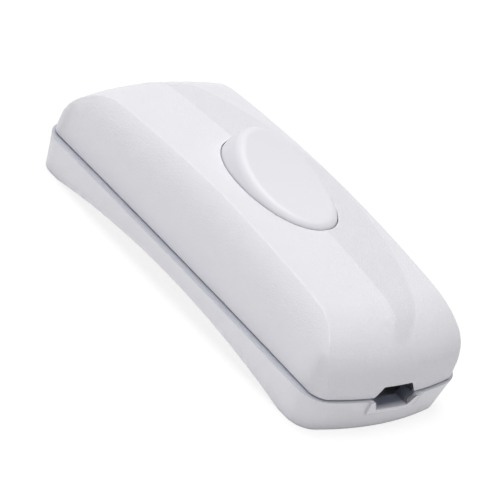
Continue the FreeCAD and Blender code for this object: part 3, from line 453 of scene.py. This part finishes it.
def add_housing_colour(tree, colour):
    """Painted highlight on edges, and painted shade on the keel's right facet, ledge, slots, collars and
    low crevices.
    """
    # Painted shade on the keel's right facet, which leans away from the lamps
    colour = add_tint(tree, colour, add_keel_facet(tree), FACET_SHADE_TINT)
    for add_detail in (add_edge_highlight, add_ledge_shade, add_slot_shade, add_collar_shadow_lines):
        colour = add_detail(tree, colour)
    # Painted crevice shade only low on the housing and off the collars' sides
    (_, _, z), _ = add_place(tree)
    off_collar_sides = add_fall(tree, add_collar_side(tree), 0.0, 1.0)
    share = add_product(tree, add_fall(tree, z, *CREVICE_HEIGHTS), off_collar_sides)
    return add_crevice_shade(tree, colour, share)


# Housing shading normal

def add_crisp_edges(tree, normal):
    """Keep the rounded edges above the foot from facing further down than their faces."""
    (_, _, z), (_, _, upward) = add_place(tree)
    lowest = add_math(tree, "MINIMUM", upward, 0.0)
    limit = add_math(tree, "SUBTRACT", lowest, add_fall(tree, z, *CRISP_HEIGHTS))
    across, along, up = add_split(tree, normal)
    crisp = add_xyz(tree, across, along, add_math(tree, "MAXIMUM", up, limit))
    return add_vector(tree, "NORMALIZE", crisp)


def add_soft_corners(tree, normal):
    """Turn the sides' shading round towards the ends at each upright corner of the shell."""
    (x, y, z), (_, sideways, _) = add_place(tree)
    reach = add_absolute(tree, x)
    turn = add_rise(tree, reach, *CORNER_TURN)
    endward = add_product(tree, add_ramp(tree, turn, 0.0, CORNER_WAY[0]), add_math(tree, "SIGN", x))
    sideward = add_product(tree, add_ramp(tree, turn, 1.0, CORNER_WAY[1]), add_math(tree, "SIGN", y))
    flat = add_vector(tree, "NORMALIZE", add_xyz(tree, endward, sideward, 0.0))
    _, _, own_rise = add_split(tree, normal)
    upper_rise = add_blend(tree, turn, add_ramp(tree, z, *SIDE_RISE), add_ramp(tree, z, *END_RISE))
    rise = add_blend(tree, add_rise(tree, z, *UPPER_SHELL_HEIGHTS), own_rise, upper_rise)
    level = add_math(tree, "SQRT", add_math(tree, "SUBTRACT", 1.0, add_product(tree, rise, rise)))
    around = add_vector(tree, "MULTIPLY", flat, add_xyz(tree, level, level, level))
    turned = add_vector(tree, "ADD", around, add_xyz(tree, 0.0, 0.0, rise))
    weight = add_product(tree, add_fall(tree, z, *CORNER_FADE),
                         add_rise(tree, add_absolute(tree, sideways), *CORNER_SLOPES),
                         add_rise(tree, reach, *CORNER_START))
    return add_vector(tree, "NORMALIZE", add_vector_blend(tree, weight, normal, turned))


def add_fuller_form(tree, normal):
    """Fuller shoulders and ends, and a keel whose right facet leans further over."""
    _, _, up = add_split(tree, normal)
    wave = add_math(tree, "SINE", add_product(tree, add_math(tree, "MAXIMUM", up, 0.0), 2 * math.pi))
    bend = add_product(tree, wave, -SHOULDER_BEND)
    lean = add_product(tree, add_keel_facet(tree), FACET_LEAN)
    return add_vector(tree, "NORMALIZE", add_vector(tree, "ADD", normal, add_xyz(tree, 0.0, lean, bend)))


def add_keel_nose(tree, normal):
    """The low step round the keel's right side and nose."""
    (x, y, _), _ = add_place(tree)
    height = add_product(tree, add_fall(tree, add_keel_plan(tree), *NOSE_STEP),
                         add_rise(tree, add_absolute(tree, x), *NOSE_REACH),
                         add_rise(tree, y, *NOSE_SIDE), add_crown_mask(tree))
    return add_bump(tree, height, NOSE_HEIGHT, normal)


def add_housing_normal(tree, normal):
    for add_detail in (add_crisp_edges, add_soft_corners, add_fuller_form, add_keel_nose):
        normal = add_detail(tree, normal)
    return normal


# Materials

def new_material(name):
    material = bpy.data.materials.new(name)
    material.use_nodes = True
    tree = material.node_tree
    return material, tree, tree.nodes["Principled BSDF"]


def plastic(name, colour, roughness, grain_scale, grain_height, mottling,
            paint_light_and_shade=add_crevice_shade, dress_normal=None):
    """Moulded plastic: grained, slightly uneven in tone and gloss, softened at its edges, with painted
    shade in its crevices or the housing's painted highlight and shade.
    """
    material, tree, shader = new_material(name)
    tone = add_noise(tree, MOTTLING_SCALE, MOTTLING_DETAIL)
    look = add_mix(tree, tone, [share * (1 - mottling) for share in colour],
                   [share * (1 + mottling) for share in colour])
    tree.links.new(paint_light_and_shade(tree, look), shader.inputs["Base Color"])
    gloss = add_noise(tree, GLOSS_SCALE, GLOSS_DETAIL)
    tree.links.new(add_ramp(tree, gloss, roughness - GLOSS_SPREAD, roughness + GLOSS_SPREAD),
                   shader.inputs["Roughness"])
    normal = add_rounding(tree, ROUNDING, ROUNDING_SAMPLES)
    if dress_normal:
        normal = dress_normal(tree, normal)
    grain = add_noise(tree, grain_scale, GRAIN_DETAIL, GRAIN_ROUGHNESS)
    tree.links.new(add_bump(tree, grain, grain_height, normal), shader.inputs["Normal"])
    return material


def metal(name, colour, roughness):
    """Worn metal with fine scratches."""
    material, tree, shader = new_material(name)
    shader.inputs["Metallic"].default_value = 1.0
    tone = add_noise(tree, TARNISH_SCALE, TARNISH_DETAIL)
    tree.links.new(add_mix(tree, tone, [share * TARNISH for share in colour], colour),
                   shader.inputs["Base Color"])
    wear = add_noise(tree, SCRATCH_SCALE, SCRATCH_DETAIL)
    tree.links.new(add_ramp(tree, wear, roughness + SCRATCH_GLOSS[0], roughness + SCRATCH_GLOSS[1]),
                   shader.inputs["Roughness"])
    tree.links.new(add_bump(tree, wear, SCRATCH_DEPTH, strength=SCRATCH_STRENGTH), shader.inputs["Normal"])
    return material


def dress_nodes():
    """Give each CAD node the material that its record names."""
    housing_dress = {"paint_light_and_shade": add_housing_colour, "dress_normal": add_housing_normal}
    finishes = {}
    for name, look in PLASTICS.items():
        dress = housing_dress if name == "shell_plastic" else {}
        finishes[name] = plastic(name, *look, **dress)
    for name, look in METALS.items():
        finishes[name] = metal(name, *look)
    for part in frame["record"]["subparts"]:
        for place in frame["nodes"][part["node"]].material_slots:
            place.material = finishes[part["material_slot"]]


# Rocker

def fit_rocker():
    """The rocker as it sits in use, closer in its opening than the solid's clearance."""
    mesh = frame["nodes"]["rocker"].data.copy()
    for vertex in mesh.vertices:
        if vertex.co.z > ROCKER_CAP:
            arm = vertex.co - ROCKER_PIVOT
            vertex.co = ROCKER_PIVOT + Vector(scale * length for scale, length in zip(ROCKER_SCALE, arm))
    cap = bpy.data.objects.new("rocker_cap", mesh)
    bpy.context.scene.collection.objects.link(cap)
    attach(cap, "rocker")
    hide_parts("rocker")


# Stage

def add_seen(tree):
    """One for rays from the camera and for reflections, which show the white background."""
    path = tree.nodes.new("ShaderNodeLightPath")
    mirrored = add_math(tree, "MAXIMUM", path.outputs["Is Glossy Ray"], path.outputs["Is Transmission Ray"])
    return add_math(tree, "MAXIMUM", path.outputs["Is Camera Ray"], mirrored)


def make_clear_below(tree, shader):
    """Let the camera see through a surface from its back."""
    side = tree.nodes.new("ShaderNodeNewGeometry")
    clear = tree.nodes.new("ShaderNodeBsdfTransparent")
    either = tree.nodes.new("ShaderNodeMixShader")
    tree.links.new(side.outputs["Backfacing"], either.inputs["Fac"])
    tree.links.new(shader.outputs["BSDF"], either.inputs[1])
    tree.links.new(clear.outputs["BSDF"], either.inputs[2])
    tree.links.new(either.outputs["Shader"], tree.nodes["Material Output"].inputs["Surface"])


def make_floor():
    """A pale floor that reads as white, keeps the object's shadow and is clear from below."""
    bpy.ops.mesh.primitive_plane_add(size=FLOOR_SIZE, location=(0, 0, FLOOR_HEIGHT))
    floor = bpy.context.object
    floor.name = "floor"
    material, tree, shader = new_material("floor_white")
    shader.inputs["Roughness"].default_value = FLOOR_ROUGHNESS
    shader.inputs["Specular IOR Level"].default_value = 0.0
    shader.inputs["Emission Color"].default_value = (1, 1, 1, 1)
    seen = add_seen(tree)
    tree.links.new(add_mix(tree, seen, FLOOR_COLOUR, FLOOR_SEEN_COLOUR), shader.inputs["Base Color"])
    tree.links.new(add_ramp(tree, seen, 0.0, FLOOR_SEEN_GLOW), shader.inputs["Emission Strength"])
    make_clear_below(tree, shader)
    floor.data.materials.append(material)


def make_world():
    """Dim light from all round, seen as white."""
    world = bpy.data.worlds.new("studio")
    world.use_nodes = True
    bpy.context.scene.world = world
    tree = world.node_tree
    back = tree.nodes["Background"]
    back.inputs["Color"].default_value = (1, 1, 1, 1)
    tree.links.new(add_ramp(tree, add_seen(tree), WORLD_LIGHT, 1.0), back.inputs["Strength"])


def make_softbox(name, azimuth, elevation, distance, size, level):
    """A square lamp aimed at the object; the level is its share of a white surface's tone."""
    turn, rise = math.radians(azimuth), math.radians(elevation)
    way = Vector((math.cos(rise) * math.cos(turn), math.cos(rise) * math.sin(turn), math.sin(rise)))
    data = bpy.data.lights.new(name, "AREA")
    data.energy = level * (math.pi * distance) ** 2
    data.size = size
    light = bpy.data.objects.new(name, data)
    bpy.context.scene.collection.objects.link(light)
    light.location = distance * way
    light.rotation_euler = way.to_track_quat("Z", "Y").to_euler()
    light.visible_camera = False


make_camera()
dress_nodes()
fit_rocker()
make_floor()
make_world()
for softbox in SOFTBOXES:
    make_softbox(*softbox)
bpy.context.scene.view_settings.view_transform = "Standard"
